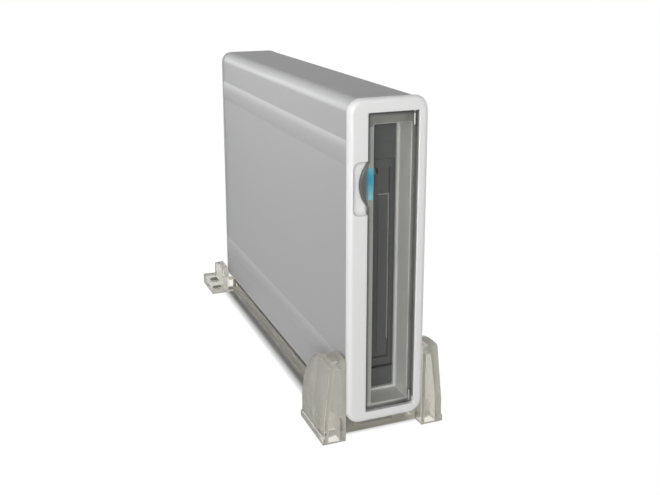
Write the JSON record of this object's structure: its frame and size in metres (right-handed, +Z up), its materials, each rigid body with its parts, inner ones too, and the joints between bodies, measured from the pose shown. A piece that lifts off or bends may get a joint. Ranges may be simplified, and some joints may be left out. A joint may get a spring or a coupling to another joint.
{
  "type": "external magneto-optical drive",
  "caption": "Slim upright magneto-optical disk drive with a clear front door, held on edge in a clear stand, with its loading mechanism, optics and rear sockets inside.",
  "frame": {"origin": "on the floor, under the middle of the whole object with its stand", "axes": "+X across the case to the door's hinge side, +Y from the front door to the back, +Z up"},
  "size_m": [0.0612, 0.225, 0.1588],
  "materials": {
    "sleeve_grey": "satin",
    "bezel_white": "semi-gloss",
    "door_smoke": "clear, smoke tint",
    "stand_clear": "clear",
    "guide_blue": "translucent",
    "drive_dark": "fine texture",
    "button_dark": "fine texture",
    "rear_grey": "fine texture",
    "steel": "ground",
    "sheet_steel": "zinc plated",
    "cast_metal": "as cast",
    "circuit_green": "lacquered",
    "chip_black": "moulded",
    "rocker_black": "polished",
    "coil_copper": "enamelled wire",
    "magnet_nickel": "plated",
    "gear_white": "moulded",
    "rubber_black": "matte",
    "pad_soft": "soft clear",
    "ribbon_grey": "flat cable",
    "lens_glass": "polished",
    "lamp_clear": "clear",
    "laser_brass": "plated"
  },
  "bodies": {
    "stand": {"stand": "stand_clear", "stand_pads": "pad_soft"},
    "unit": {"activity_light": "lamp_clear", "actuator_magnets": "magnet_nickel", "bias_coil": "coil_copper", "board_screws": "steel", "board_spacers": "cast_metal", "bridge_board": "circuit_green", "bridge_chips": "chip_black", "bridge_header": "chip_black", "chassis_tray": "sheet_steel", "door_hinge_pins": "steel", "drive_base": "cast_metal", "drive_bezel": "drive_dark", "drive_board": "circuit_green", "drive_chips": "chip_black", "drive_connector": "chip_black", "drive_cover": "sheet_steel", "drive_grommets": "rubber_black", "drive_screws": "steel", "eject_motor": "sheet_steel", "eject_switch": "chip_black", "flap_pin": "steel", "flap_spring": "steel", "front_bezel": "bezel_white", "front_board": "circuit_green", "guide_rods": "steel", "inner_fascia": "drive_dark", "laser_diode": "laser_brass", "magnet_yokes": "sheet_steel", "optics_block": "cast_metal", "outer_sleeve": "sleeve_grey", "power_jack": "chip_black", "power_switch": "chip_black", "rear_panel": "rear_grey", "rear_screws": "steel", "ribbon_cable": "ribbon_grey", "spindle_motor": "sheet_steel", "status_lamp": "lamp_clear", "status_lamp_board": "circuit_green", "status_light_guide": "guide_blue", "usb_port": "sheet_steel"},
    "door": {"front_door": "door_smoke"},
    "flap": {"slot_flap": "drive_dark"},
    "button": {"eject_button": "button_dark"},
    "spindle": {"turntable": "cast_metal"},
    "head": {"head_carriage": "cast_metal", "objective_lens": "lens_glass", "carriage_coils": "coil_copper"},
    "holder": {"cartridge_holder": "sheet_steel"},
    "slider": {"loading_slider": "sheet_steel"},
    "pinion": {"eject_pinion": "gear_white"},
    "rocker": {"power_rocker": "rocker_black"}
  },
  "joints": [
    {"name": "lift_out", "type": "slide", "parent": "stand", "child": "unit", "axis": [0, 0, 1], "range_m": [0, 0.045]},
    {"name": "door_hinge", "type": "hinge", "parent": "unit", "child": "door", "pos_m": [0.0127, -0.1105, 0.0831], "axis": [0, 0, 1], "range_deg": [0, 95]},
    {"name": "flap_hinge", "type": "hinge", "parent": "unit", "child": "flap", "pos_m": [0.0016, -0.0931, 0.0772], "axis": [0, 0, 1], "range_deg": [0, 85], "stiffness_Nm_per_rad": 0.004, "springref_deg": -20.05},
    {"name": "eject_press", "type": "slide", "parent": "unit", "child": "button", "axis": [0, 1, 0], "range_m": [0, 0.0008], "stiffness_N_per_m": 600, "springref_m": -0.0005},
    {"name": "spindle_spin", "type": "hinge", "parent": "unit", "child": "spindle", "pos_m": [-0.003, -0.0375, 0.0772], "axis": [1, 0, 0], "continuous": true},
    {"name": "head_seek", "type": "slide", "parent": "unit", "child": "head", "axis": [0, 1, 0], "range_m": [0, 0.018]},
    {"name": "load_slide", "type": "slide", "parent": "unit", "child": "slider", "axis": [0, 1, 0], "range_m": [0, 0.012]},
    {"name": "holder_drop", "type": "slide", "parent": "unit", "child": "holder", "axis": [-1, 0, 0], "range_m": [0, 0.004]},
    {"name": "pinion_turn", "type": "hinge", "parent": "unit", "child": "pinion", "pos_m": [0.0108, 0.0171, 0.1092], "axis": [1, 0, 0], "range_deg": [-115, 0]},
    {"name": "rocker_tilt", "type": "hinge", "parent": "unit", "child": "rocker", "pos_m": [-0.0009, 0.0903, 0.1198], "axis": [1, 0, 0], "range_deg": [-16, 0]}
  ],
  "couplings": [
    {"joint": "holder_drop", "follows": "load_slide", "ratio": 0.33333},
    {"joint": "pinion_turn", "follows": "load_slide", "rad_per_m": -166.67}
  ]
}
